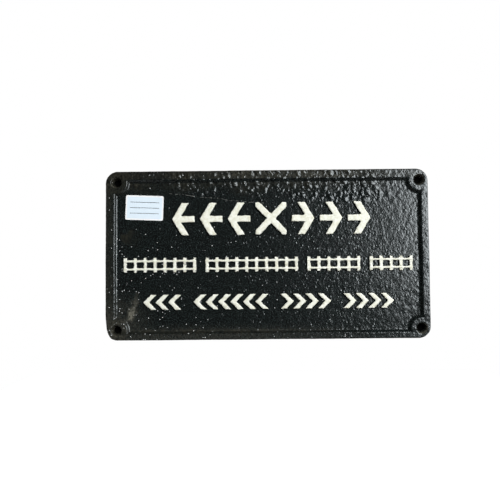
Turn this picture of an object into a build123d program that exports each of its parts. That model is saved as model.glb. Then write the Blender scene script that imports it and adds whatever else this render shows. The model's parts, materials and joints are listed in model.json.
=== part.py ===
from build123d import *
from math import atan, cos, degrees, radians, sin, tan
import os

# Cast iron railway warning sign: a flat-backed plate with a raised border, raised corner bosses round its
# fixing holes, three rows of raised figures and a small paper label. All sizes are in millimetres.
# The sign is drawn lying on its back, with X along it, Y up its face and Z towards the reader, and is
# stood upright before it is written: its back is then on the plane Y = 0 and its face looks along -Y.

# Plate
sign_length = 420.0
sign_height = 220.0
corner_radius = 16.0
ground_thickness = 6.0
rim_draft = 2.0
rim_edge_bevel = 0.8

# Border, from the sign's edge to the top of the sloped inner wall
border_rise = 4.0
border_top_width = 12.0
border_bottom_width = 8.7
border_left_width = 10.5
border_right_width = 8.4
border_wall_run = 2.6
border_edge_bevel = 0.5

# Fixing holes and their bosses. Each hole is a straight bore at the back that opens into a tapered mouth for
# a countersunk screw. The four sit a little right of and below the middle, as the pattern was made.
hole_inset_x = 13.2
hole_inset_y = 13.9
hole_shift_x = 1.2
hole_shift_y = -0.9
bore_radius = 4.25
bore_land = 2.0
mouth_radius = 7.0
boss_radius = 14.0
seam_margin = 3.0

# Paper label, stuck on the ground a little askew, close to the top left boss
label_length = 50.5
label_height = 33.3
label_thickness = 0.3
label_corner_radius = 1.5
label_turn = -2.3
label_boss_gap = 3.4
label_bearing = -52.1

# Figures: how far they stand off the ground, the slope of their sides, and the softening of their top edges
figure_rise = 3.5
figure_draft = 12.0
large_edge_bevel = 0.6
small_edge_bevel = 0.5

# First row: arrows that point left, the cross of a crossing, and arrows that point right. The arrows are as
# long as the room between the label and the border leaves them.
heading_inset = 48.9
heading_height = 42.0
heading_stroke = 7.8
heading_gap = 7.0
heading_left_margin = 10.0
heading_right_margin = 64.6
cross_width = 40.0
arrow_head_angle = 59.0
arrows_each_side = 3

# Second row, midway between the others: lengths of railway track seen from above, with the rails running
# over the sleepers
track_height = 19.2
track_margin = 11.0
track_gap = 12.0
sleeper_counts = [8, 10, 6, 5]
sleeper_width = 4.2
sleeper_rise = 2.9
rail_width = 2.2
rail_gauge = 10.4

# Third row: groups of chevrons, the first half of them pointing left and the others right
chevron_inset = 37.8
chevron_height = 19.2
chevron_margin = 36.6
chevron_gap = 16.0
chevron_stroke = 5.0
chevron_angle = 45.0
chevron_counts = [3, 6, 4, 4]

overall_thickness = ground_thickness + border_rise

os.makedirs("parts", exist_ok=True)


def write(name, shape):
    """Stand a piece upright and write it."""
    export_step(Rot(90, 0, 0) * shape, f"parts/{name}.step")


def slab(x_range, y_range, z_range):
    """A plain block between three pairs of limits, for cutting a piece out of the casting."""
    ranges = (x_range, y_range, z_range)
    middle = [(low + high) / 2 for low, high in ranges]
    return Pos(*middle) * Box(*[high - low for low, high in ranges])


# Hole centres
hole_left = hole_shift_x - sign_length / 2 + hole_inset_x
hole_right = hole_shift_x + sign_length / 2 - hole_inset_x
hole_bottom = hole_shift_y - sign_height / 2 + hole_inset_y
hole_top = hole_shift_y + sign_height / 2 - hole_inset_y
hole_centres = [(x, y) for y in (hole_bottom, hole_top) for x in (hole_left, hole_right)]

# The ground that the border's wall leaves free
field_left = -sign_length / 2 + border_left_width + border_wall_run
field_right = sign_length / 2 - border_right_width - border_wall_run
field_bottom = -sign_height / 2 + border_bottom_width + border_wall_run
field_top = sign_height / 2 - border_top_width - border_wall_run


def opening():
    """What the border leaves open above the ground: straight sides that slope outwards as they rise, less
    a coned boss at each corner that slopes inwards."""
    field = Rectangle(field_right - field_left, field_top - field_bottom)
    middle = Pos((field_left + field_right) / 2, (field_bottom + field_top) / 2, ground_thickness)
    slope = degrees(atan(border_wall_run / border_rise))
    hollow = extrude(middle * field, amount=border_rise, taper=-slope)
    boss = Cone(boss_radius + border_wall_run, boss_radius, border_rise)
    return hollow - [Pos(x, y, ground_thickness + border_rise / 2) * boss for x, y in hole_centres]


def fixing_hole():
    """One hole: the straight bore at the back, then the taper out to the mouth."""
    profile = Polyline(
        (0, 0),
        (bore_radius, 0),
        (bore_radius, bore_land),
        (mouth_radius, overall_thickness),
        (0, overall_thickness),
        close=True,
    )
    return revolve(Plane.XZ * make_face(profile), Axis.Z)


def casting_body():
    """The plate with its border and bosses as they leave the sand: drafted rim, sloped inner wall that
    sweeps round the bosses, and softened top edges."""
    outline = RectangleRounded(sign_length, sign_height, corner_radius)
    body = extrude(outline, amount=overall_thickness, taper=rim_draft)
    body -= opening()
    top_face = body.faces().sort_by(Axis.Z)[-1]
    body = chamfer(top_face.outer_wire().edges(), rim_edge_bevel)
    top_face = body.faces().sort_by(Axis.Z)[-1]
    body = chamfer(top_face.inner_wires()[0].edges(), border_edge_bevel)
    for x, y in hole_centres:
        body -= Pos(x, y) * fixing_hole()
    return body


body = casting_body()
whole_x = (-sign_length, sign_length)
whole_y = (-sign_height, sign_height)

# Ground plate
write("ground_plate", body & slab(whole_x, whole_y, (0, ground_thickness)))

# Border strips and corner bosses, parted where the wall has left the boss
relief_z = (ground_thickness, overall_thickness)
relief = body & slab(whole_x, whole_y, relief_z)
boss_reach = boss_radius + border_wall_run + seam_margin
seam_x = (hole_left + boss_reach, hole_right - boss_reach)
seam_y = (hole_bottom + boss_reach, hole_top - boss_reach)
left, right = (whole_x[0], seam_x[0]), (seam_x[1], whole_x[1])
bottom, top = (whole_y[0], seam_y[0]), (seam_y[1], whole_y[1])
write("border_left", relief & slab(left, seam_y, relief_z))
write("border_right", relief & slab(right, seam_y, relief_z))
write("border_bottom", relief & slab(seam_x, bottom, relief_z))
write("border_top", relief & slab(seam_x, top, relief_z))
write("boss_bottom_left", relief & slab(left, bottom, relief_z))
write("boss_bottom_right", relief & slab(right, bottom, relief_z))
write("boss_top_left", relief & slab(left, top, relief_z))
write("boss_top_right", relief & slab(right, top, relief_z))

# Paper label: its top left corner lies beside the foot of the boss, and it is turned about that corner
label_reach = boss_radius + border_wall_run + label_boss_gap
label_corner_x = hole_left + label_reach * cos(radians(label_bearing))
label_corner_y = hole_top + label_reach * sin(radians(label_bearing))
label_blank = extrude(RectangleRounded(label_length, label_height, label_corner_radius), amount=label_thickness)
label_place = Pos(label_corner_x, label_corner_y, ground_thickness) * Rot(0, 0, label_turn)
label = label_place * Pos(label_length / 2, -label_height / 2) * label_blank
label_right = label.bounding_box().max.X
write("lot_label", label)


def raised(outline, rise):
    """A figure standing on the ground, about the sign's middle: the outline is its painted top, and its
    sides slope out to the foot."""
    foot = offset(outline, amount=rise * tan(radians(figure_draft)), kind=Kind.INTERSECTION)
    return Pos(0, 0, ground_thickness) * extrude(foot, amount=rise, taper=figure_draft)


def eased(figure, bevel):
    """A figure with the edge of its top bevelled."""
    return chamfer(figure.faces().sort_by(Axis.Z)[-1].edges(), bevel)


def raised_chevron(height, stroke, angle):
    """A chevron that points along +X with its tip at the origin, and how far back it reaches. Its upper arm
    is drawn past the middle, parted there and mirrored, so that the arms meet in a mitre."""
    half = height / 2
    slant = 1 / tan(radians(angle))
    thickness = stroke / sin(radians(angle))
    overrun = 2 * figure_rise
    points = [
        (overrun * slant, -overrun),
        (-half * slant, half),
        (-half * slant - thickness, half),
        (overrun * slant - thickness, -overrun),
    ]
    arm = raised(make_face(Polyline(*points, close=True)), figure_rise)
    upper = split(arm, Plane.XZ, keep=Keep.BOTTOM)
    return upper + mirror(upper, Plane.XZ), half * slant + thickness


def raised_arrow(length):
    """An arrow that points along +X with its tip at the origin: an open head on a straight shaft."""
    head, _ = raised_chevron(heading_height, heading_stroke, arrow_head_angle)
    tip_thickness = heading_stroke / sin(radians(arrow_head_angle))
    shaft_length = length - tip_thickness / 2
    shaft = Pos(shaft_length / 2 - length, 0) * raised(Rectangle(shaft_length, heading_stroke), figure_rise)
    return head + shaft


# First row, worked out from its middle
heading_y = field_top - heading_inset
heading_left = label_right + heading_left_margin
heading_right = field_right - heading_right_margin
heading_x = (heading_left + heading_right) / 2
arrow_pitch = (heading_right - heading_left - cross_width) / 2 / arrows_each_side
arrow = eased(raised_arrow(arrow_pitch - heading_gap), large_edge_bevel)
for step in range(arrows_each_side):
    reach = cross_width / 2 + (step + 1) * arrow_pitch
    write(f"arrow_left_{step + 1}", Pos(heading_x - reach, heading_y) * Rot(0, 0, 180) * arrow)
    write(f"arrow_right_{step + 1}", Pos(heading_x + reach, heading_y) * arrow)

arm_angle = degrees(atan(heading_height / cross_width))
arm = raised(Rectangle(heading_height + cross_width, heading_stroke), figure_rise)
arms = Rot(0, 0, arm_angle) * arm + Rot(0, 0, -arm_angle) * arm
cross = arms & raised(Rectangle(cross_width, heading_height), figure_rise)
write("crossing_cross", Pos(heading_x, heading_y) * eased(cross, large_edge_bevel))


def spread_groups(counts, width, gap, margin):
    """Share a row between groups of equal pieces at one even pitch: each group as the places of its
    pieces' middles, with a gap between groups and a margin to the border at either end."""
    room = field_right - field_left - 2 * margin - gap * (len(counts) - 1) - width * len(counts)
    pitch = room / (sum(counts) - len(counts))
    groups = []
    start = field_left + margin + width / 2
    for count in counts:
        groups.append([start + step * pitch for step in range(count)])
        start = groups[-1][-1] + width + gap
    return groups


# Second row
chevron_y = field_bottom + chevron_inset
heading_foot = heading_y - heading_height / 2
chevron_head = chevron_y + chevron_height / 2
track_y = (heading_foot + chevron_head) / 2
sleeper = eased(raised(Rectangle(sleeper_width, track_height), sleeper_rise), small_edge_bevel)
tracks = spread_groups(sleeper_counts, sleeper_width, track_gap, track_margin)
for number, places in enumerate(tracks, start=1):
    span = places[-1] - places[0] + sleeper_width
    middle = (places[0] + places[-1]) / 2
    rail = eased(raised(Rectangle(span, rail_width), figure_rise), small_edge_bevel)
    rails = [Pos(middle, track_y + side * rail_gauge / 2) * rail for side in (-1, 1)]
    write(f"track_length_{number}", Part() + rails + [Pos(x, track_y) * sleeper for x in places])

# Third row
figure, chevron_depth = raised_chevron(chevron_height, chevron_stroke, chevron_angle)
chevron = Pos(chevron_depth / 2, 0) * eased(figure, small_edge_bevel)
chevron_rows = spread_groups(chevron_counts, chevron_depth, chevron_gap, chevron_margin)
for number, places in enumerate(chevron_rows, start=1):
    points_right = number > len(chevron_rows) / 2
    turn = Rot(0, 0, 0 if points_right else 180)
    write(f"chevrons_{number}", Compound(children=[Pos(x, chevron_y) * turn * chevron for x in places]))
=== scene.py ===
import json
from math import floor, hypot, radians

import bmesh
import bpy
from mathutils import Euler, Matrix, Vector, noise
from mathutils.bvhtree import BVHTree


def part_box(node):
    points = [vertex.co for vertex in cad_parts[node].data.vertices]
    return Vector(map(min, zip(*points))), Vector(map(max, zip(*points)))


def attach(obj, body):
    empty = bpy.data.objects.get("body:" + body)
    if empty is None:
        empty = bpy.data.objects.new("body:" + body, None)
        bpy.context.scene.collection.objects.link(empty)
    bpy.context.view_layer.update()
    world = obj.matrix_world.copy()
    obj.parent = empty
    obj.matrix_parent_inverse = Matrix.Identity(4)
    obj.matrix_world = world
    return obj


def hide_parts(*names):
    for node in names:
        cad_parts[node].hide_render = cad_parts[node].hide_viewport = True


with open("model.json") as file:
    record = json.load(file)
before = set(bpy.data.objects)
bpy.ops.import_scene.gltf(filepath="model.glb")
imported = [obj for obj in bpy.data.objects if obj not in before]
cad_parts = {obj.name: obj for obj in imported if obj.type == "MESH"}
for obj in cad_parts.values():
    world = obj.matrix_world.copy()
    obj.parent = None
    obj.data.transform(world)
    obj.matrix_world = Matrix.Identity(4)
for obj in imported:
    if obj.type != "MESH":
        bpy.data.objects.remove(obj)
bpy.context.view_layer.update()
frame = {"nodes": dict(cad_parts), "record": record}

# Camera
# The sign is seen square on from about 0.7 m, held very slightly askew.
camera_data = bpy.data.cameras.new("camera")
camera_data.lens = 39.48
camera_data.clip_start = 0.01
camera = bpy.data.objects.new("camera", camera_data)
camera.location = (-0.0156, -0.7182, -0.0257)
camera.rotation_euler = Euler((radians(92.53), radians(0.548), radians(0.537)))
bpy.context.scene.collection.objects.link(camera)
bpy.context.scene.camera = camera

# The casting
# Plate, border and corner bosses are one piece of grey iron, poured on its back in open sand, so one skin
# covers them all. It is rough from the sand, blistered along the top, and its edges are rounded and a little
# wavy. It is painted all over with black gloss, brushed on thick.
mm = 0.001
sand_step = 1.5 * mm
casting_nodes = [
    "ground_plate",
    "border_top",
    "border_bottom",
    "border_left",
    "border_right",
    "boss_top_left",
    "boss_top_right",
    "boss_bottom_left",
    "boss_bottom_right",
]
plate_low, plate_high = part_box("ground_plate")
sign_left, sign_right = plate_low.x, plate_high.x
sign_front, sign_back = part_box("border_top")[0].y, plate_high.y
sign_foot, sign_top = plate_low.z, plate_high.z

# The middles of the sloped inner walls of the border
half_wall = 1.3 * mm
left_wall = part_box("border_left")[1].x - half_wall
right_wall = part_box("border_right")[0].x + half_wall
foot_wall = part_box("border_bottom")[1].z - half_wall
top_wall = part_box("border_top")[0].z + half_wall

label_low, label_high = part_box("lot_label")
ground_y = label_high.y
pattern = next(mount for mount in frame["record"]["mounts"] if mount["kind"] == "bolt_pattern")
hole_radius = pattern["dims"]["hole_r_mm"] * mm
spread_x, spread_z = pattern["dims"]["spacing_x_mm"] * mm / 2, pattern["dims"]["spacing_y_mm"] * mm / 2
hole_places = [Vector(pattern["pos_m"]) + Vector((side_x * spread_x, 0, side_z * spread_z))
               for side_x in (-1, 1) for side_z in (-1, 1)]


def merged_copy(nodes):
    """A bmesh of copies of CAD nodes, each closed by merging its own loose triangles."""
    whole = bmesh.new()
    for node in nodes:
        part = bmesh.new()
        part.from_mesh(frame["nodes"][node].data)
        bmesh.ops.remove_doubles(part, verts=part.verts, dist=0.001 * mm)
        mesh = bpy.data.meshes.new(node)
        part.to_mesh(mesh)
        part.free()
        whole.from_mesh(mesh)
        bpy.data.meshes.remove(mesh)
    return whole


def new_piece(name, work):
    """A named object at the origin with a bmesh's shape."""
    mesh = bpy.data.meshes.new(name)
    work.to_mesh(mesh)
    work.free()
    piece = bpy.data.objects.new(name, mesh)
    bpy.context.scene.collection.objects.link(piece)
    return piece


def settle(piece):
    """Make what the piece's modifiers show its own mesh."""
    shown = piece.evaluated_get(bpy.context.evaluated_depsgraph_get())
    mesh = bpy.data.meshes.new_from_object(shown)
    piece.modifiers.clear()
    piece.data = mesh
    return piece


def cast_skin(piece, step):
    """Wrap a piece in one even, closed skin of small faces."""
    wrap = piece.modifiers.new("wrap", "REMESH")
    wrap.mode = "VOXEL"
    wrap.voxel_size = step
    wrap.use_smooth_shade = True
    return settle(piece)


def smooth_step(low, high, value):
    """0 below low, 1 above high, and a soft rise between them."""
    share = min(max((value - low) / (high - low), 0), 1)
    return share * share * (3 - 2 * share)


def ripple(point, wave, seed=0.0):
    """Smooth noise from about -1 to 1, whose waves are of the given lengths along X, Y and Z."""
    place = Vector((point.x / wave[0] + seed, point.y / wave[1] - seed, point.z / wave[2] + 2 * seed))
    return 2 * noise.noise(place)


def label_guard(point):
    """0 on the patch of ground under the label, and 1 away from it."""
    beside_x = max(label_low.x - point.x, point.x - label_high.x)
    beside_z = max(label_low.z - point.z, point.z - label_high.z)
    return smooth_step(-1 * mm, 2.5 * mm, max(beside_x, beside_z))


def hole_distance(point):
    """How far a point is from the axis of the nearest fixing hole."""
    return min(Vector((point.x - place.x, point.z - place.z)).length for place in hole_places)


def along_sign(point):
    """Where a point is along the sign, from 0 at its left end to 1 at its right end."""
    return (point.x - sign_left) / (sign_right - sign_left)


def blister_crowd(point):
    """How thickly the blisters stand, from 0 to 1: they crowd the top of the face, where damp sand boiled."""
    along = along_sign(point)
    reach = 36 * mm + 14 * mm * smooth_step(0.5, 0.7, along) - 20 * mm * smooth_step(0.88, 0.97, along)
    depth = sign_top - point.z + 7 * mm * ripple(point, (26 * mm, 1, 26 * mm), 3.1)
    off_rim = smooth_step(0.5 * mm, 3 * mm, sign_top - point.z)
    off_boss = smooth_step(12 * mm, 17 * mm, hole_distance(point))
    off_ends = smooth_step(0.0, 0.3, along) * (1 - 0.85 * smooth_step(0.77, 0.88, along))
    return off_rim * off_boss * off_ends * smooth_step(reach, reach - 14 * mm, depth)


lump_lean_x, lump_lean_z = 0.94, 0.34
lump_length = 1.4


def lumps(point, width, seed):
    """Height of a crowd of lumps, from 0 to 1: one of its own size in most cells, longer than wide."""
    stray = 1.5 * mm * ripple(point, (9 * mm, 1, 9 * mm), seed)
    across = (lump_lean_x * point.x + lump_lean_z * point.z + stray) / width
    up = (lump_lean_x * point.z - lump_lean_z * point.x) / (lump_length * width)
    height = 0
    for column in range(floor(across) - 1, floor(across) + 2):
        for row in range(floor(up) - 1, floor(up) + 2):
            chance = noise.cell_vector(Vector((column + 0.5, row + 0.5, seed)))
            distance = hypot(across - column - chance.x, up - row - chance.y)
            size = 0.12 + 0.38 * chance.z
            if distance < size:
                height = max(height, 2 * size * (1 - (distance / size) ** 2))
    return height


def blisters(point):
    """Height of the blisters, in millimetres: drops of two sizes."""
    return 1.9 * lumps(point, 8.5 * mm, 0.5) + 0.7 * lumps(point, 4.5 * mm, 7.5)


def sand_marks(point):
    """Height of the sand's own marks, in millimetres, which are all over."""
    coarse = ripple(point, (6.5 * mm, 6.5 * mm, 6.5 * mm), 5.2)
    fine = ripple(point, (3.0 * mm, 3.0 * mm, 3.0 * mm), 2.4)
    return 0.09 * coarse + 0.1 * fine


def sharpen_slopes(work, true_shape):
    """Halve the skin's faces along every wall, rim and mouth of the front, and lay them on the true shape."""
    work.normal_update()
    front = [vert for vert in work.verts if vert.co.y < ground_y + 0.5 * mm]
    sloped = {vert for vert in front if vert.normal.y > -0.97 or blister_crowd(vert.co) > 0.15}
    sloped |= {edge.other_vert(vert) for vert in sloped for edge in vert.link_edges}
    steep = [edge for edge in work.edges if edge.verts[0] in sloped and edge.verts[1] in sloped]
    bmesh.ops.subdivide_edges(work, edges=steep, cuts=1, use_grid_fill=True)
    front = [vert for vert in work.verts if vert.co.y < sign_back - 2 * mm]
    for vert in front:
        vert.co = true_shape.find_nearest(vert.co)[0]
    bmesh.ops.smooth_vert(work, verts=front, factor=0.15,
                          use_axis_x=True, use_axis_y=True, use_axis_z=True)


def surface_rise(point, normal):
    """How far the sand's marks and blisters push the skin out, in millimetres. The back lay open and is flat,
    and so is the ground under the label."""
    if normal.y >= 0.9:
        rise = 0
    elif normal.y >= -0.2:
        rise = 0.5 * sand_marks(point)
    else:
        rise = sand_marks(point) - 0.25
        crowd = blister_crowd(point)
        if crowd > 0:
            room = smooth_step(0.5 * mm, 3 * mm, point.y - sign_front)
            rise += crowd * (blisters(point) - 0.3 - 1.0 * (1 - room))
    guard = label_guard(point)
    return rise * guard - 0.2 * (1 - guard)


left_wall_stray, right_wall_stray = 1.3 * mm, 1.6 * mm
corner_stray = 2 * mm


def stray_from_pattern(point):
    """How far the casting strays from its pattern: its rim waves a little, the walls of its side borders
    stand further in between the bosses, and its bottom left corner is drawn in."""
    slack_x = 0.0009 * (1 + ripple(point, (1, 1, 60 * mm), 0.4))
    slack_z = 0.0012 * (1 + ripple(point, (75 * mm, 1, 1), 0.9))
    shift = 0
    if point.y < ground_y + 1 * mm:
        left = smooth_step(6.5 * mm, 2.2 * mm, abs(point.x - left_wall))
        right = smooth_step(6.5 * mm, 2.2 * mm, abs(point.x - right_wall))
        between_bosses = smooth_step(88 * mm, 76 * mm, abs(point.z))
        shift = between_bosses * (left_wall_stray * left - right_wall_stray * right)
    at_foot = smooth_step(34 * mm, 4 * mm, point.z - sign_foot)
    shift += corner_stray * at_foot * smooth_step(9 * mm, 0, point.x - sign_left)
    return Vector((shift - slack_x * point.x, 0, -slack_z * point.z))


# One skin over the pattern's pieces, marked by the sand and a little out of true
work = merged_copy(casting_nodes)
true_shape = BVHTree.FromBMesh(work)
casting = cast_skin(new_piece("casting", work), sand_step)
work = bmesh.new()
work.from_mesh(casting.data)
sharpen_slopes(work, true_shape)
work.normal_update()
cast_places = [vert.co + vert.normal * surface_rise(vert.co, vert.normal) * mm + stray_from_pattern(vert.co)
               for vert in work.verts]
for vert, place in zip(work.verts, cast_places):
    vert.co = place
work.to_mesh(casting.data)
work.free()


def in_back_face(point):
    """Whether a point lies on the flat back, clear of its edges and of the holes."""
    off_edge = min(point.x - sign_left, sign_right - point.x, point.z - sign_foot, sign_top - point.z)
    off_hole = hole_distance(point) - hole_radius
    return point.y > sign_back - 0.5 * mm and off_edge > 5 * mm and off_hole > 3 * mm


# The flat back needs fewer faces than the front
back = casting.vertex_groups.new(name="back")
back.add([vert.index for vert in casting.data.vertices if in_back_face(vert.co)], 1.0, "REPLACE")
thin = casting.modifiers.new("thin", "DECIMATE")
thin.ratio = 0.6
thin.vertex_group = "back"
settle(casting)

# No mark stands out past the outline, the border's face or the back
for vert in casting.data.vertices:
    vert.co = (
        min(max(vert.co.x, sign_left), sign_right),
        min(max(vert.co.y, sign_front), sign_back),
        min(max(vert.co.z, sign_foot), sign_top),
    )


def colour(code):
    """The linear colour that an sRGB hex code stands for."""
    shares = [int(code[place:place + 2], 16) / 255 for place in (1, 3, 5)]
    return [share / 12.92 if share <= 0.04045 else ((share + 0.055) / 1.055) ** 2.4 for share in shares] + [1]


def add(tree, kind, inputs=None, **settings):
    """Add a node to a material, with its settings, and with a value or a link for each named input."""
    node = tree.nodes.new("ShaderNode" + kind)
    for name, value in settings.items():
        setattr(node, name, value)
    for name, value in (inputs or {}).items():
        if isinstance(value, bpy.types.NodeSocket):
            tree.links.new(value, node.inputs[name])
        else:
            node.inputs[name].default_value = value
    return node


def new_material(name):
    """An empty material and its node tree."""
    material = bpy.data.materials.new(name)
    material.use_nodes = True
    material.node_tree.nodes.clear()
    return material, material.node_tree


def place_on_object(tree):
    """The place on the object that a material's patterns read."""
    return add(tree, "TexCoord").outputs["Object"]


def flecks_and_glints(tree, place, share):
    """Flecks of spray and dust, some of them painted glints: a small dot in each chosen cell."""
    specks = add(tree, "TexVoronoi", {"Vector": place, "Scale": 1 / (3.1 * mm)})
    chance = add(tree, "SeparateColor", {"Color": specks.outputs["Color"]})
    chosen = add(tree, "Math", {0: chance.outputs["Red"], 1: share}, operation="LESS_THAN")
    dot = add(tree, "MapRange", {"Value": specks.outputs["Distance"], "From Min": 0.19, "From Max": 0.12})
    return add(tree, "Math", {0: chosen.outputs["Value"], 1: dot.outputs["Result"]}, operation="MULTIPLY")


scratch_slope, scratch_stray = 0.112, 6 * mm
scratch_level, scratch_half_width = 69.2 * mm, 0.3 * mm
scratch_middle, scratch_half_length = -65 * mm, 62 * mm


def long_scratch(tree, place, brush, grain):
    """One long, faint scratch on the front: it falls a little to the right, strays, and is worn away in
    places."""
    spot = add(tree, "SeparateXYZ", {"Vector": place})
    fall = add(tree, "Math", {0: spot.outputs["X"], 1: scratch_slope, 2: spot.outputs["Z"]},
               operation="MULTIPLY_ADD")
    stray = add(tree, "Math", {0: brush.outputs["Fac"], 1: scratch_stray, 2: fall.outputs["Value"]},
                operation="MULTIPLY_ADD")
    scratch = add(tree, "Math", {0: stray.outputs["Value"], 1: scratch_level, 2: scratch_half_width},
                  operation="COMPARE")
    span = add(tree, "Math", {0: spot.outputs["X"], 1: scratch_middle, 2: scratch_half_length},
               operation="COMPARE")
    front = add(tree, "Math", {0: spot.outputs["Y"], 1: ground_y / 2}, operation="LESS_THAN")
    worn = add(tree, "MapRange", {"Value": grain.outputs["Fac"], "From Min": 0.4, "From Max": 0.6,
                                  "To Max": 0.4})
    for limit in (span.outputs["Value"], front.outputs["Value"], worn.outputs["Result"]):
        scratch = add(tree, "Math", {0: scratch.outputs["Value"], 1: limit}, operation="MULTIPLY")
    return scratch


def sand_grain(tree, slant, grain, smooth):
    """The sand's grain, with a taller pimple here and there, under paint that has run smooth in places."""
    pimples = add(tree, "TexVoronoi", {"Vector": slant.outputs["Vector"], "Scale": 1 / (3.0 * mm)})
    own = add(tree, "SeparateColor", {"Color": pimples.outputs["Color"]})
    own = add(tree, "Math", {0: own.outputs["Red"], 1: 3.0}, operation="POWER")
    dome = add(tree, "MapRange", {"Value": pimples.outputs["Distance"], "From Min": 0.5, "From Max": 0.0,
                                  "To Max": 0.9}, interpolation_type="SMOOTHSTEP")
    pimple = add(tree, "Math", {0: own.outputs["Value"], 1: dome.outputs["Result"]}, operation="MULTIPLY")
    relief = add(tree, "Math", {0: grain.outputs["Fac"], 1: 0.9, 2: pimple.outputs["Value"]},
                 operation="MULTIPLY_ADD")
    depth = add(tree, "MapRange", {"Value": smooth, "To Min": 0.47 * mm, "To Max": 0.15 * mm})
    return add(tree, "Bump", {"Height": relief.outputs["Value"], "Strength": 1.0,
                              "Distance": depth.outputs["Result"]})


def black_gloss_on_cast_iron():
    """Oil-bound black gloss brushed over sand-cast iron: black with a slight green-blue cast, glossy on each
    grain of the sand's marks, olive brown where old rust shows through it, with flecks of dust and spray.
    Some flecks are painted glints, and the pale and brown marks in the holes and along the bottom are partly
    painted light."""
    material, tree = new_material("black gloss paint on cast iron")
    place = place_on_object(tree)
    marks = {name: add(tree, "Attribute", attribute_name=name).outputs["Fac"] for name in
             ("rust", "dust", "flecks", "smooth")}

    # The grain of the sand, the strokes of the brush, and the speckle of the paint, which is really finer and
    # is drawn as coarse as it needs to show
    slant = add(tree, "Mapping", {"Vector": place, "Rotation": (0, radians(28), 0), "Scale": (1.0, 1.0, 0.8)})
    grain = add(tree, "TexNoise", {"Vector": slant.outputs["Vector"], "Scale": 1 / (2.4 * mm), "Detail": 1.0,
                                   "Roughness": 0.5})
    speckle = add(tree, "TexNoise", {"Vector": place, "Scale": 1 / (1.4 * mm), "Detail": 3.0,
                                     "Roughness": 0.6})
    brush = add(tree, "TexNoise", {"Vector": place, "Scale": 1 / (25 * mm), "Detail": 3.0})

    # The paint, and the old rust that shows through it in patches
    tone = add(tree, "ValToRGB", {"Fac": speckle.outputs["Fac"]})
    rusty = add(tree, "ValToRGB", {"Fac": grain.outputs["Fac"]})
    ramps = ((tone, ((0.48, "#060808"), (0.72, "#2E3837"))), (rusty, ((0.35, "#11110D"), (0.65, "#302F27"))))
    for ramp, stops in ramps:
        for stop, (position, code) in zip(ramp.color_ramp.elements, stops):
            stop.position = position
            stop.color = colour(code)
    patches = add(tree, "MapRange", {"Value": brush.outputs["Fac"], "From Min": 0.3, "From Max": 0.7,
                                     "To Min": 0.4, "To Max": 1.2})
    rust = add(tree, "Math", {0: marks["rust"], 1: patches.outputs["Result"]}, operation="MULTIPLY",
               use_clamp=True)
    base = add(tree, "Mix", {"Factor": rust.outputs["Value"], "A": tone.outputs["Color"],
                             "B": rusty.outputs["Color"]}, data_type="RGBA")

    # Dust in clumps, the flecks and the scratch lie on top, and both dust and rust dull the gloss. The dust
    # layer is also painted sheen along the bottom and a painted highlight in the holes' mouths, and some
    # flecks are painted glints.
    clumps = add(tree, "MapRange", {"Value": grain.outputs["Fac"], "From Min": 0.3, "From Max": 0.7,
                                    "To Min": 0.15})
    dust = add(tree, "Math", {0: marks["dust"], 1: clumps.outputs["Result"]}, operation="MULTIPLY",
               use_clamp=True)
    flecks = flecks_and_glints(tree, place, marks["flecks"])
    scratch = long_scratch(tree, place, brush, grain)
    for layer, code in ((dust, "#8B897C"), (flecks, "#EEF1F2"), (scratch, "#A3A49E")):
        base = add(tree, "Mix", {"Factor": layer.outputs["Value"], "A": base.outputs["Result"],
                                 "B": colour(code)}, data_type="RGBA")
    dull = add(tree, "Math", {0: rust.outputs["Value"], 1: dust.outputs["Value"]}, operation="MAXIMUM")
    gloss = add(tree, "MapRange", {"Value": dull.outputs["Value"], "To Min": 0.25, "To Max": 0.34})
    bump = sand_grain(tree, slant, grain, marks["smooth"])
    paint = add(tree, "BsdfPrincipled", {
        "Base Color": base.outputs["Result"],
        "Roughness": gloss.outputs["Result"],
        "Specular IOR Level": 0.5,
        "Normal": bump.outputs["Normal"],
    })
    add(tree, "OutputMaterial", {"Surface": paint.outputs["BSDF"]})
    return material


def off_wall_shade(point):
    """0 on the inner walls of the top and bottom borders, which are kept black, free of rust and dust, as
    painted shade, and 1 elsewhere.
    """
    top = smooth_step(1.4 * mm, 3.2 * mm, abs(point.z - top_wall))
    return top * smooth_step(0.8 * mm, 2.4 * mm, abs(point.z - foot_wall))


groove_height = 11 * mm
patch_x, patch_z = -178 * mm, 20 * mm


def rust_and_hole_light_at(point):
    """How much old rust shows: along the top, down the left edge, in the bottom groove and in the holes,
    where its brown is also painted light on the holes' walls.
    """
    along = along_sign(point)
    depth = sign_top - point.z + 5 * mm * ripple(point, (25 * mm, 1, 25 * mm), 8.8)
    top = smooth_step(34 * mm, 8 * mm, depth) * smooth_step(0.98, 0.6, along) * off_wall_shade(point)
    left = 0.5 * smooth_step(16 * mm, 4 * mm, point.x - sign_left)
    off_groove = abs(point.z - sign_foot - groove_height)
    groove = smooth_step(3.2 * mm, 1.0 * mm, off_groove) * smooth_step(0.85, 0.45, along)
    # The brown in the holes is partly painted light: it stands in for the light on the holes' walls.
    off_hole = hole_distance(point) - hole_radius
    hole = smooth_step(3.2 * mm, 2.2 * mm, off_hole) * (1 - 0.6 * along)
    boss = 0.6 * smooth_step(20 * mm, 12 * mm, hole_distance(point)) * smooth_step(0.3, 0.1, along)
    uneven = 6 * mm * ripple(point, (9 * mm, 1, 9 * mm), 6.6)
    patch = 0.6 * smooth_step(14 * mm, 2 * mm, hypot(point.x - patch_x, point.z - patch_z) + uneven)
    return max(0.8 * top, left, 0.8 * groove, hole, boss, patch)


smear_x, smear_z = -174.5 * mm, -71 * mm


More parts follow.
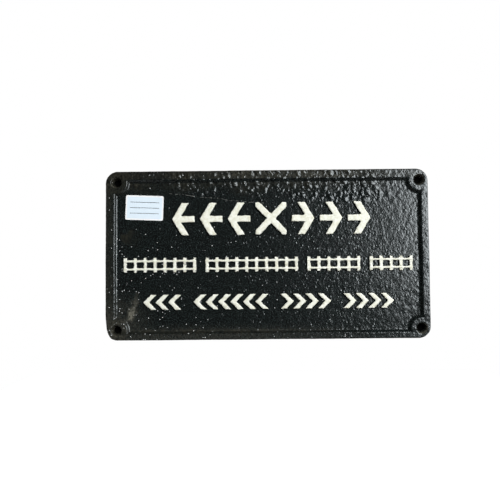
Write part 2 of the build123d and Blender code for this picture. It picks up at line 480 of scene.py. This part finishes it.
def dust_and_sheen_at(point):
    """How much pale colour lies: dust in a slanting smear at the lower left; a thin pale veil on the border
    and in the bottom left corner, which along the bottom is painted sheen; and a pale ring in the holes'
    mouths, which is a painted highlight."""
    up = (point.z - smear_z) / (24 * mm)
    across = (point.x - smear_x - 0.25 * (point.z - smear_z)) / (8 * mm)
    spread = hypot(across, up) + 0.2 * ripple(point, (6 * mm, 1, 9 * mm), 4.4)
    smear = 0.25 * smooth_step(1.1, 0.3, spread) + 0.5 * smooth_step(0.7, 0.0, spread + 0.3 * up + 0.1)
    along = along_sign(point)
    # The veil along the bottom border and in the bottom left corner is painted sheen that lightens them.
    veil = max(
        0.11 * smooth_step(24 * mm, 4 * mm, point.z - sign_foot) * smooth_step(1.0, 0.3, along),
        0.12 * smooth_step(80 * mm, 20 * mm, hypot(point.x - sign_left, point.z - sign_foot)),
        0.08 * smooth_step(22 * mm, 8 * mm, sign_top - point.z) * smooth_step(0.15, 0.5, along),
        0.03 * smooth_step(16 * mm, 8 * mm, point.x - sign_left),
    )
    # Painted highlight: a pale ring at the front of each hole's mouth, stronger to the right.
    mouth = smooth_step(3.2 * mm, 2.4 * mm, hole_distance(point) - hole_radius)
    mouth *= (0.3 + 0.35 * along) * smooth_step(sign_front + 7 * mm, sign_front, point.y)
    return max(smear, veil * off_wall_shade(point), mouth)


boss_wall = 15.5 * mm


def smooth_at(point):
    """How smooth the paint has run: it fills the sand's marks along the inner walls, and lies thicker to
    the right."""
    left = smooth_step(5 * mm, 3 * mm, abs(point.x - left_wall))
    right = smooth_step(3.5 * mm, 2 * mm, abs(point.x - right_wall))
    top = smooth_step(3.5 * mm, 2 * mm, abs(point.z - top_wall))
    boss = smooth_step(3.5 * mm, 2 * mm, abs(hole_distance(point) - boss_wall))
    thick = 0.5 * smooth_step(sign_right - 110 * mm, sign_right - 30 * mm, point.x)
    return max(left, right, top, boss, thick)


def flecks_and_glints_at(point):
    """The share of places that carry a fleck or a painted glint: more to the left and below."""
    along = along_sign(point)
    height = (point.z - sign_foot) / (sign_top - sign_foot)
    return 0.015 + 0.3 * smooth_step(0.6, 0.0, along) * smooth_step(1.1, 0.0, height)


layers = (("rust", rust_and_hole_light_at, 0.6), ("dust", dust_and_sheen_at, 0), ("flecks", flecks_and_glints_at, 0), ("smooth", smooth_at, 0))
for name, amount_at, behind in layers:
    layer = casting.data.attributes.new(name, "FLOAT", "POINT")
    layer.data.foreach_set("value", [amount_at(vert.co) if vert.co.y < sign_back - 2 * mm else behind
                                     for vert in casting.data.vertices])
casting.data.materials.clear()
casting.data.materials.append(black_gloss_on_cast_iron())
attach(casting, "root")
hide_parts(*casting_nodes)

# The raised figures
# They are cast in one with the plate, from wooden figures planted on the pattern: their sides slope, and
# their edges are worn and wobbly. Black paint covers their sides, and cream paint is brushed on their tops.
figure_nodes = [node for node in sorted(frame["nodes"]) if node not in casting_nodes and node != "lot_label"]
figure_step = 0.6 * mm
figure_root = 1.5 * mm
figure_sway, figure_dent = 0.3 * mm, 0.12 * mm
cream_edge, edge_softness = 2.5 * mm, 0.2 * mm


def cream_gloss_on_figures():
    """Oil-bound cream gloss brushed on the tops of the figures, over the black of their sides: weathered to a
    soft sheen, a little blotched, and with a wobbly edge where the brush stopped."""
    material, tree = new_material("cream gloss paint on cast figures")
    place = place_on_object(tree)
    height = add(tree, "SeparateXYZ", {"Vector": place})
    edge = add(tree, "TexNoise", {"Vector": place, "Scale": 1 / (1.6 * mm), "Detail": 3.0, "Roughness": 0.6})
    wobble = add(tree, "MapRange", {"Value": edge.outputs["Fac"], "From Min": 0.3, "From Max": 0.7,
                                    "To Min": -0.45 * mm, "To Max": 0.45 * mm})
    level = add(tree, "Math", {0: height.outputs["Y"], 1: wobble.outputs["Result"]}, operation="ADD")
    painted = add(tree, "MapRange", {"Value": level.outputs["Value"],
                                     "From Min": ground_y - cream_edge + edge_softness,
                                     "From Max": ground_y - cream_edge - edge_softness})
    coats = add(tree, "TexNoise", {"Vector": place, "Scale": 1 / (5 * mm), "Detail": 4.0, "Roughness": 0.7})
    cream = add(tree, "ValToRGB", {"Fac": coats.outputs["Fac"]})
    for stop, (position, code) in zip(cream.color_ramp.elements, ((0.38, "#DEDECB"), (0.58, "#F2F4E9"))):
        stop.position = position
        stop.color = colour(code)
    tone = add(tree, "Mix", {"Factor": painted.outputs["Result"], "A": colour("#0C0E0E"),
                             "B": cream.outputs["Color"]}, data_type="RGBA")
    grain = add(tree, "TexNoise", {"Vector": place, "Scale": 1 / (1.6 * mm), "Detail": 2.0})
    bump = add(tree, "Bump", {"Height": grain.outputs["Fac"], "Strength": 1.0, "Distance": 0.15 * mm})
    paint = add(tree, "BsdfPrincipled", {
        "Base Color": tone.outputs["Result"],
        "Roughness": 0.5,
        "Specular IOR Level": 0.3,
        "Normal": bump.outputs["Normal"],
    })
    add(tree, "OutputMaterial", {"Surface": paint.outputs["BSDF"]})
    return material


# The foot of each figure is rooted in the plate, because the two are one casting
cream_gloss = cream_gloss_on_figures()
for node in figure_nodes:
    work = merged_copy([node])
    for vert in work.verts:
        if vert.co.y > ground_y - 0.1 * mm:
            vert.co.y += figure_root
    figure = cast_skin(new_piece(node + "_cast", work), figure_step)
    work = bmesh.new()
    work.from_mesh(figure.data)
    for turn in range(2):
        bmesh.ops.smooth_vert(work, verts=work.verts, factor=0.5,
                              use_axis_x=True, use_axis_y=True, use_axis_z=True)
    for vert in work.verts:
        point = vert.co.copy()
        sway_x = figure_sway * ripple(point, (4 * mm, 9 * mm, 4 * mm), 11.3)
        sway_z = figure_sway * ripple(point, (4 * mm, 9 * mm, 4 * mm), 17.9)
        dent = figure_dent * ripple(point, (3 * mm, 9 * mm, 3 * mm), 23.1)
        vert.co = point + Vector((sway_x, dent, sway_z))
        vert.co.y = max(vert.co.y, sign_front)
    work.to_mesh(figure.data)
    work.free()
    figure.data.materials.clear()
    figure.data.materials.append(cream_gloss)
    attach(figure, "root")
    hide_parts(node)

# The label
# A small gummed paper label, stuck on a little askew: white at its edge, with a pale blue field that has
# three plain ruled lines. Its corners are rounded, and one of them has begun to lift.
label_width, label_height = 49.4 * mm, 32.3 * mm
label_thickness, label_corner = 0.28 * mm, 2.2 * mm
corner_lift, lift_reach = 0.5 * mm, 14 * mm
label_wave = 0.05 * mm
label_middle = (label_low + label_high) / 2 + Vector((-0.5 * mm, 0, 0.4 * mm))
label_turn = Matrix.Rotation(radians(-2.3), 2)


def rounded(u, v):
    """A point of the sheet, pulled in where the sheet's corners are rounded."""
    over_u = abs(u) - label_width / 2 + label_corner
    over_v = abs(v) - label_height / 2 + label_corner
    if over_u <= 0 or over_v <= 0:
        return u, v
    pull = min(1, label_corner / Vector((over_u, over_v)).length)
    side_u, side_v = (1 if u > 0 else -1), (1 if v > 0 else -1)
    return u - side_u * over_u * (1 - pull), v - side_v * over_v * (1 - pull)


work = bmesh.new()
bmesh.ops.create_grid(work, x_segments=64, y_segments=42, size=0.5)
sheet_places = []
for vert in work.verts:
    u, v = rounded(vert.co.x * label_width, vert.co.y * label_height)
    sheet_places.append((u, v, 0))
    place = label_turn @ Vector((u, v))
    to_corner = Vector((label_width / 2 - u, label_height / 2 - v)).length
    lift = corner_lift * smooth_step(lift_reach, 0, to_corner)
    wave = label_wave * ripple(Vector((u, 0, v)), (9 * mm, 1, 9 * mm), 6.1)
    vert.co = (label_middle.x + place.x, label_low.y - lift - wave, label_middle.z + place.y)
bmesh.ops.recalc_face_normals(work, faces=work.faces)
if work.faces[0].normal.y > 0:
    bmesh.ops.reverse_faces(work, faces=work.faces)
label = new_piece("paper_label", work)
layer = label.data.attributes.new("sheet", "FLOAT_VECTOR", "POINT")
layer.data.foreach_set("vector", [value for place in sheet_places for value in place])
body = label.modifiers.new("body", "SOLIDIFY")
body.thickness = label_thickness
body.offset = -1
settle(label)
label.data.polygons.foreach_set("use_smooth", [False] * len(label.data.polygons))

# Coated label paper: plain white, printed with the pale blue field and fine dark lines
white_edge = 1.9 * mm
line_gap, line_width, line_length = 7.2 * mm, 0.7 * mm, 38 * mm
paper, tree = new_material("coated label paper")
spot = add(tree, "Attribute", attribute_name="sheet")
sheet = add(tree, "SeparateXYZ", {"Vector": spot.outputs["Vector"]})
off_middle_u = add(tree, "Math", {0: sheet.outputs["X"]}, operation="ABSOLUTE").outputs["Value"]
off_middle_v = add(tree, "Math", {0: sheet.outputs["Y"]}, operation="ABSOLUTE").outputs["Value"]
in_field_u = add(tree, "Math", {0: off_middle_u, 1: label_width / 2 - white_edge}, operation="LESS_THAN")
in_field_v = add(tree, "Math", {0: off_middle_v, 1: label_height / 2 - white_edge}, operation="LESS_THAN")
field = add(tree, "Math", {0: in_field_u.outputs["Value"], 1: in_field_v.outputs["Value"]},
            operation="MULTIPLY")
near_line = add(tree, "Math", {0: sheet.outputs["Y"], 1: line_gap / 2}, operation="PINGPONG")
line = add(tree, "Math", {0: near_line.outputs["Value"], 1: line_width / 2}, operation="LESS_THAN")
for off_middle, reach in ((off_middle_u, line_length / 2), (off_middle_v, 1.25 * line_gap)):
    within = add(tree, "Math", {0: off_middle, 1: reach}, operation="LESS_THAN")
    line = add(tree, "Math", {0: line.outputs["Value"], 1: within.outputs["Value"]}, operation="MULTIPLY")
tone = add(tree, "Mix", {"Factor": field.outputs["Value"], "A": colour("#F7F9FA"), "B": colour("#E2F1FC")},
           data_type="RGBA")
tone = add(tree, "Mix", {"Factor": line.outputs["Value"], "A": tone.outputs["Result"],
                         "B": colour("#4A4F58")}, data_type="RGBA")
coat = add(tree, "BsdfPrincipled", {
    "Base Color": tone.outputs["Result"],
    "Roughness": 0.45,
    "Specular IOR Level": 0.3,
})
add(tree, "OutputMaterial", {"Surface": coat.outputs["BSDF"]})
label.data.materials.append(paper)
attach(label, "root")
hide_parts("lot_label")

# Floor and light
# A plain pale floor lies well below the sign. The sign hangs in a white surround that is dim in front of
# it, like a room, so that black gloss stays black. A soft window at the right is what its glints show, and a
# broad lamp in front lights the paint.
floor_level, floor_reach, floor_middle = -0.6, 1.3, 1.2
work = bmesh.new()
bmesh.ops.create_grid(work, x_segments=1, y_segments=1, size=floor_reach)
bmesh.ops.translate(work, verts=work.verts, vec=(0, floor_middle, floor_level))
studio_floor = new_piece("floor", work)

# The floor is lit up for the camera, and for reflections of what lies behind the sign
pale, tree = new_material("pale floor")
rays = add(tree, "LightPath")
seen = add(tree, "Math", {0: rays.outputs["Is Glossy Ray"], 1: rays.outputs["Is Transmission Ray"]},
           operation="MAXIMUM")
spot = add(tree, "SeparateXYZ", {"Vector": place_on_object(tree)})
behind = add(tree, "MapRange", {"Value": spot.outputs["Y"], "From Min": 0.1, "From Max": 0.4})
seen = add(tree, "Math", {0: seen.outputs["Value"], 1: behind.outputs["Result"]}, operation="MULTIPLY")
seen = add(tree, "Math", {0: rays.outputs["Is Camera Ray"], 1: seen.outputs["Value"]}, operation="MAXIMUM")
glow = add(tree, "Math", {0: seen.outputs["Value"], 1: 0.7}, operation="MULTIPLY")
matte = add(tree, "BsdfPrincipled", {
    "Base Color": colour("#EFEFEC"),
    "Roughness": 1.0,
    "Emission Color": (1, 1, 1, 1),
    "Emission Strength": glow.outputs["Value"],
})
add(tree, "OutputMaterial", {"Surface": matte.outputs["BSDF"]})
studio_floor.data.materials.append(pale)

# The holes look dark, as they do where the sign lies flat: a dark card stands close behind each of them, as
# painted shade for the shadowed ground seen through a hole. It shows from the front alone, so the holes stay
# open from behind.
shade, tree = new_material("dark card")
side = add(tree, "NewGeometry")
dark = add(tree, "BsdfDiffuse", {"Color": colour("#060606")})
open_back = add(tree, "BsdfTransparent")
card_face = add(tree, "MixShader", {"Fac": side.outputs["Backfacing"], 1: dark.outputs["BSDF"],
                                    2: open_back.outputs["BSDF"]})
add(tree, "OutputMaterial", {"Surface": card_face.outputs["Shader"]})
work = bmesh.new()
for place in hole_places:
    stand = Matrix.Translation(place + Vector((0, 0.4 * mm, 0))) @ Matrix.Rotation(radians(90), 4, "X")
    bmesh.ops.create_circle(work, cap_ends=True, segments=24, radius=hole_radius + 1.5 * mm, matrix=stand)
hole_shade_cards = new_piece("hole_shade_cards", work)
hole_shade_cards.data.materials.append(shade)

# The surround is white to the camera, and to every other ray that leads to what is behind the sign.
world = bpy.data.worlds.new("surround")
world.use_nodes = True
tree = world.node_tree
tree.nodes.clear()
rays = add(tree, "LightPath")
way = add(tree, "SeparateXYZ", {"Vector": add(tree, "TexCoord").outputs["Generated"]})
surround = add(tree, "MapRange", {"Value": way.outputs["Y"], "From Min": 0.0, "From Max": 0.15,
                                  "To Min": 0.05, "To Max": 1.0})
level = add(tree, "Math", {0: rays.outputs["Is Camera Ray"], 1: surround.outputs["Result"]},
            operation="MAXIMUM")
sky = add(tree, "Background", {"Color": (1, 1, 1, 1), "Strength": level.outputs["Value"]})
add(tree, "OutputWorld", {"Surface": sky.outputs["Background"]})
bpy.context.scene.world = world


def soft_lamp(name, place, aim, size, power):
    """A square soft box that faces a point."""
    data = bpy.data.lights.new(name, "AREA")
    data.shape = "SQUARE"
    data.size = size
    data.energy = power
    lamp = bpy.data.objects.new(name, data)
    lamp.location = place
    lamp.rotation_euler = (Vector(aim) - Vector(place)).to_track_quat("-Z", "Y").to_euler()
    bpy.context.scene.collection.objects.link(lamp)
    return lamp


window = soft_lamp("lamp_window", place=(0.72, -0.66, 0.16), aim=(0.1, 0, 0), size=0.6, power=15)
window.data.color = (0.9, 0.97, 1.0)
window.visible_diffuse = False
fill = soft_lamp("lamp_fill", place=(1.0, -2.3, 0.9), aim=(0, 0, 0), size=1.0, power=86)
fill.visible_glossy = False
bpy.context.scene.view_settings.view_transform = "Standard"
